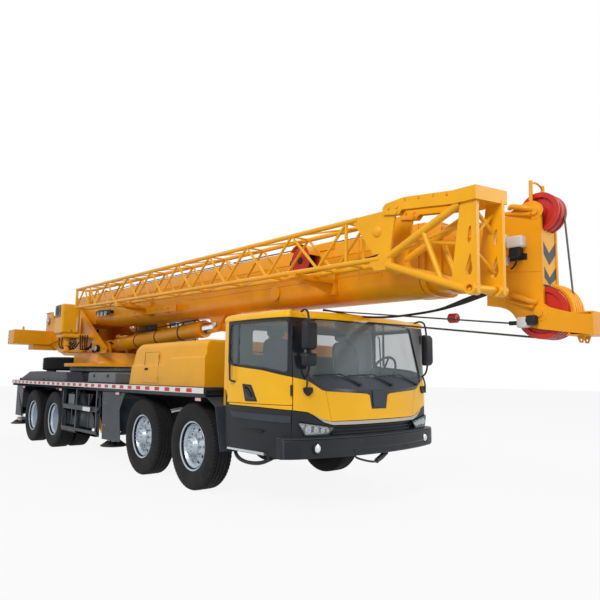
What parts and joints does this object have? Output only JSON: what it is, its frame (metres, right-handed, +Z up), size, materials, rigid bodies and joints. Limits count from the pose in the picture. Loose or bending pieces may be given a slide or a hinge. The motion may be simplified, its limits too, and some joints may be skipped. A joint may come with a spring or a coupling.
{
  "type": "mobile crane",
  "caption": "Four-axle truck crane with a telescopic boom, a lattice jib stowed on its right side, a low driver's cab, an operator's cab, outriggers and a counterweight.",
  "frame": {"origin": "on the ground below the middle of the whole machine", "axes": "+X forward along the vehicle, +Y to its left, +Z up"},
  "size_m": [13.5272, 2.75, 3.34],
  "materials": {
    "chassis_dark": "satin paint, dusty",
    "axle_black": "matt black paint over castings",
    "tyre": "matt rubber",
    "outrigger_black": "satin paint",
    "machined_steel": "ground",
    "rod_chrome": "polished",
    "paint_yellow": "gloss paint",
    "clear_glass": "clear, lightly tinted",
    "bumper_black": "textured",
    "interior_plastic": "textured",
    "seat_fabric": "woven cloth",
    "engine_iron": "painted casting",
    "sheave_red": "satin paint",
    "winch_black": "satin paint"
  },
  "bodies": {
    "carrier": {"chassis_frame": "chassis_dark", "deck": "chassis_dark", "side_right": "chassis_dark", "side_left": "chassis_dark", "front_axles": "axle_black", "rear_axles": "axle_black", "cab_shell": "paint_yellow", "windscreen": "clear_glass", "bumper": "bumper_black", "cab_interior": "interior_plastic", "engine_hood": "paint_yellow", "engine_block": "engine_iron", "spare_wheel": "tyre", "slew_ring": "chassis_dark", "hook_block": "paint_yellow"},
    "knuckle_1_right": {"knuckle_1_right": "axle_black"},
    "knuckle_2_right": {"knuckle_2_right": "axle_black"},
    "wheel_1_right": {"wheel_1_right": "tyre"},
    "wheel_2_right": {"wheel_2_right": "tyre"},
    "wheel_3_right": {"wheel_3_right": "tyre"},
    "wheel_4_right": {"wheel_4_right": "tyre"},
    "knuckle_1_left": {"knuckle_1_left": "axle_black"},
    "knuckle_2_left": {"knuckle_2_left": "axle_black"},
    "wheel_1_left": {"wheel_1_left": "tyre"},
    "wheel_2_left": {"wheel_2_left": "tyre"},
    "wheel_3_left": {"wheel_3_left": "tyre"},
    "wheel_4_left": {"wheel_4_left": "tyre"},
    "outrigger_front_right": {"outrigger_front_right": "outrigger_black"},
    "jack_front_right": {"jack_front_right": "machined_steel"},
    "outrigger_front_left": {"outrigger_front_left": "outrigger_black"},
    "jack_front_left": {"jack_front_left": "machined_steel"},
    "outrigger_rear_right": {"outrigger_rear_right": "outrigger_black"},
    "jack_rear_right": {"jack_rear_right": "machined_steel"},
    "outrigger_rear_left": {"outrigger_rear_left": "outrigger_black"},
    "jack_rear_left": {"jack_rear_left": "machined_steel"},
    "door_left": {"door_left": "paint_yellow", "door_glass_left": "clear_glass"},
    "door_right": {"door_right": "paint_yellow", "door_glass_right": "clear_glass"},
    "superstructure": {"turntable": "paint_yellow", "counterweight": "paint_yellow", "oil_tank": "paint_yellow", "operator_cab": "paint_yellow", "operator_windscreen": "clear_glass", "operator_side_glass": "clear_glass", "operator_seat": "seat_fabric"},
    "operator_door": {"operator_door": "paint_yellow", "operator_door_glass": "clear_glass"},
    "boom_base": {"boom_base": "paint_yellow", "jib": "paint_yellow"},
    "boom_section_1": {"boom_section_1": "paint_yellow"},
    "boom_section_2": {"boom_section_2": "paint_yellow"},
    "boom_section_3": {"boom_section_3": "paint_yellow"},
    "boom_head": {"boom_head": "paint_yellow"},
    "lift_barrel": {"lift_barrel": "paint_yellow"},
    "lift_rod": {"lift_rod": "rod_chrome"},
    "winch_main": {"winch_main": "winch_black"},
    "winch_auxiliary": {"winch_auxiliary": "winch_black"},
    "sheaves_upper": {"sheaves_upper": "sheave_red"},
    "sheaves_lower": {"sheaves_lower": "sheave_red"}
  },
  "joints": [
    {"name": "steer_1_right", "type": "hinge", "parent": "carrier", "child": "knuckle_1_right", "pos_m": [2.1864, -0.98, 0.55], "axis": [0, 0, 1], "range_deg": [-32, 32]},
    {"name": "steer_2_right", "type": "hinge", "parent": "carrier", "child": "knuckle_2_right", "pos_m": [0.7364, -0.98, 0.55], "axis": [0, 0, 1], "range_deg": [-22, 22]},
    {"name": "spin_1_right", "type": "hinge", "parent": "knuckle_1_right", "child": "wheel_1_right", "pos_m": [2.1864, -1.1475, 0.55], "axis": [0, 1, 0], "continuous": true},
    {"name": "spin_2_right", "type": "hinge", "parent": "knuckle_2_right", "child": "wheel_2_right", "pos_m": [0.7364, -1.1475, 0.55], "axis": [0, 1, 0], "continuous": true},
    {"name": "spin_3_right", "type": "hinge", "parent": "carrier", "child": "wheel_3_right", "pos_m": [-3.2636, -1.1475, 0.55], "axis": [0, 1, 0], "continuous": true},
    {"name": "spin_4_right", "type": "hinge", "parent": "carrier", "child": "wheel_4_right", "pos_m": [-4.6136, -1.1475, 0.55], "axis": [0, 1, 0], "continuous": true},
    {"name": "steer_1_left", "type": "hinge", "parent": "carrier", "child": "knuckle_1_left", "pos_m": [2.1864, 0.98, 0.55], "axis": [0, 0, 1], "range_deg": [-32, 32]},
    {"name": "steer_2_left", "type": "hinge", "parent": "carrier", "child": "knuckle_2_left", "pos_m": [0.7364, 0.98, 0.55], "axis": [0, 0, 1], "range_deg": [-22, 22]},
    {"name": "spin_1_left", "type": "hinge", "parent": "knuckle_1_left", "child": "wheel_1_left", "pos_m": [2.1864, 1.1475, 0.55], "axis": [0, 1, 0], "continuous": true},
    {"name": "spin_2_left", "type": "hinge", "parent": "knuckle_2_left", "child": "wheel_2_left", "pos_m": [0.7364, 1.1475, 0.55], "axis": [0, 1, 0], "continuous": true},
    {"name": "spin_3_left", "type": "hinge", "parent": "carrier", "child": "wheel_3_left", "pos_m": [-3.2636, 1.1475, 0.55], "axis": [0, 1, 0], "continuous": true},
    {"name": "spin_4_left", "type": "hinge", "parent": "carrier", "child": "wheel_4_left", "pos_m": [-4.6136, 1.1475, 0.55], "axis": [0, 1, 0], "continuous": true},
    {"name": "extend_front_right", "type": "slide", "parent": "carrier", "child": "outrigger_front_right", "axis": [0, -1, 0], "range_m": [0, 1.8]},
    {"name": "lower_front_right", "type": "slide", "parent": "outrigger_front_right", "child": "jack_front_right", "axis": [0, 0, -1], "range_m": [0, 0.5]},
    {"name": "extend_front_left", "type": "slide", "parent": "carrier", "child": "outrigger_front_left", "axis": [0, 1, 0], "range_m": [0, 1.8]},
    {"name": "lower_front_left", "type": "slide", "parent": "outrigger_front_left", "child": "jack_front_left", "axis": [0, 0, -1], "range_m": [0, 0.5]},
    {"name": "extend_rear_right", "type": "slide", "parent": "carrier", "child": "outrigger_rear_right", "axis": [0, -1, 0], "range_m": [0, 1.8]},
    {"name": "lower_rear_right", "type": "slide", "parent": "outrigger_rear_right", "child": "jack_rear_right", "axis": [0, 0, -1], "range_m": [0, 0.5]},
    {"name": "extend_rear_left", "type": "slide", "parent": "carrier", "child": "outrigger_rear_left", "axis": [0, 1, 0], "range_m": [0, 1.8]},
    {"name": "lower_rear_left", "type": "slide", "parent": "outrigger_rear_left", "child": "jack_rear_left", "axis": [0, 0, -1], "range_m": [0, 0.5]},
    {"name": "open_door_left", "type": "hinge", "parent": "carrier", "child": "door_left", "pos_m": [4.0344, 1.172, 1.6], "axis": [0, 0, -1], "range_deg": [0, 68]},
    {"name": "open_door_right", "type": "hinge", "parent": "carrier", "child": "door_right", "pos_m": [4.0344, -1.172, 1.6], "axis": [0, 0, 1], "range_deg": [0, 68]},
    {"name": "slew", "type": "hinge", "parent": "carrier", "child": "superstructure", "pos_m": [-3.8136, 0, 1.61], "axis": [0, 0, 1], "continuous": true},
    {"name": "open_operator_door", "type": "hinge", "parent": "superstructure", "child": "operator_door", "pos_m": [-3.6706, 1.358, 2.6], "axis": [0, 0, 1], "range_deg": [0, 85]},
    {"name": "luff", "type": "hinge", "parent": "superstructure", "child": "boom_base", "pos_m": [-4.9636, 0, 2.78], "axis": [0, -1, 0], "range_deg": [0, 78]},
    {"name": "telescope_1", "type": "slide", "parent": "boom_base", "child": "boom_section_1", "axis": [0.9998, 0, -0.0192], "range_m": [0, 7.4]},
    {"name": "telescope_2", "type": "slide", "parent": "boom_section_1", "child": "boom_section_2", "axis": [0.9998, 0, -0.0192], "range_m": [0, 7.4]},
    {"name": "telescope_3", "type": "slide", "parent": "boom_section_2", "child": "boom_section_3", "axis": [0.9998, 0, -0.0192], "range_m": [0, 7.4]},
    {"name": "telescope_4", "type": "slide", "parent": "boom_section_3", "child": "boom_head", "axis": [0.9998, 0, -0.0192], "range_m": [0, 7.4]},
    {"name": "cylinder_swing", "type": "hinge", "parent": "superstructure", "child": "lift_barrel", "pos_m": [-3.4136, 0, 2.085], "axis": [0, -1, 0], "range_deg": [0, 86.61]},
    {"name": "cylinder_stroke", "type": "slide", "parent": "lift_barrel", "child": "lift_rod", "axis": [0.9991, 0, 0.0418], "range_m": [0, 2.0142]},
    {"name": "turn_winch_main", "type": "hinge", "parent": "superstructure", "child": "winch_main", "pos_m": [-5.8036, 0, 2.6], "axis": [0, 1, 0], "continuous": true},
    {"name": "turn_winch_auxiliary", "type": "hinge", "parent": "superstructure", "child": "winch_auxiliary", "pos_m": [-6.5036, 0, 2.79], "axis": [0, 1, 0], "continuous": true},
    {"name": "turn_sheaves_upper", "type": "hinge", "parent": "boom_head", "child": "sheaves_upper", "pos_m": [6.30452, 0, 2.99072], "axis": [0, 1, 0], "continuous": true},
    {"name": "turn_sheaves_lower", "type": "hinge", "parent": "boom_head", "child": "sheaves_lower", "pos_m": [6.30436, 0, 2.04455], "axis": [0, 1, 0], "continuous": true}
  ],
  "couplings": [
    {"joint": "steer_1_left", "follows": "steer_1_right", "ratio": 1},
    {"joint": "steer_2_right", "follows": "steer_1_right", "ratio": 0.68},
    {"joint": "steer_2_left", "follows": "steer_1_right", "ratio": 0.68},
    {"joint": "cylinder_swing", "follows": "luff", "ratio": 1.1026},
    {"joint": "cylinder_stroke", "follows": "luff", "m_per_rad": 1.4752},
    {"joint": "telescope_2", "follows": "telescope_1", "ratio": 1},
    {"joint": "telescope_3", "follows": "telescope_1", "ratio": 1},
    {"joint": "telescope_4", "follows": "telescope_1", "ratio": 1}
  ]
}
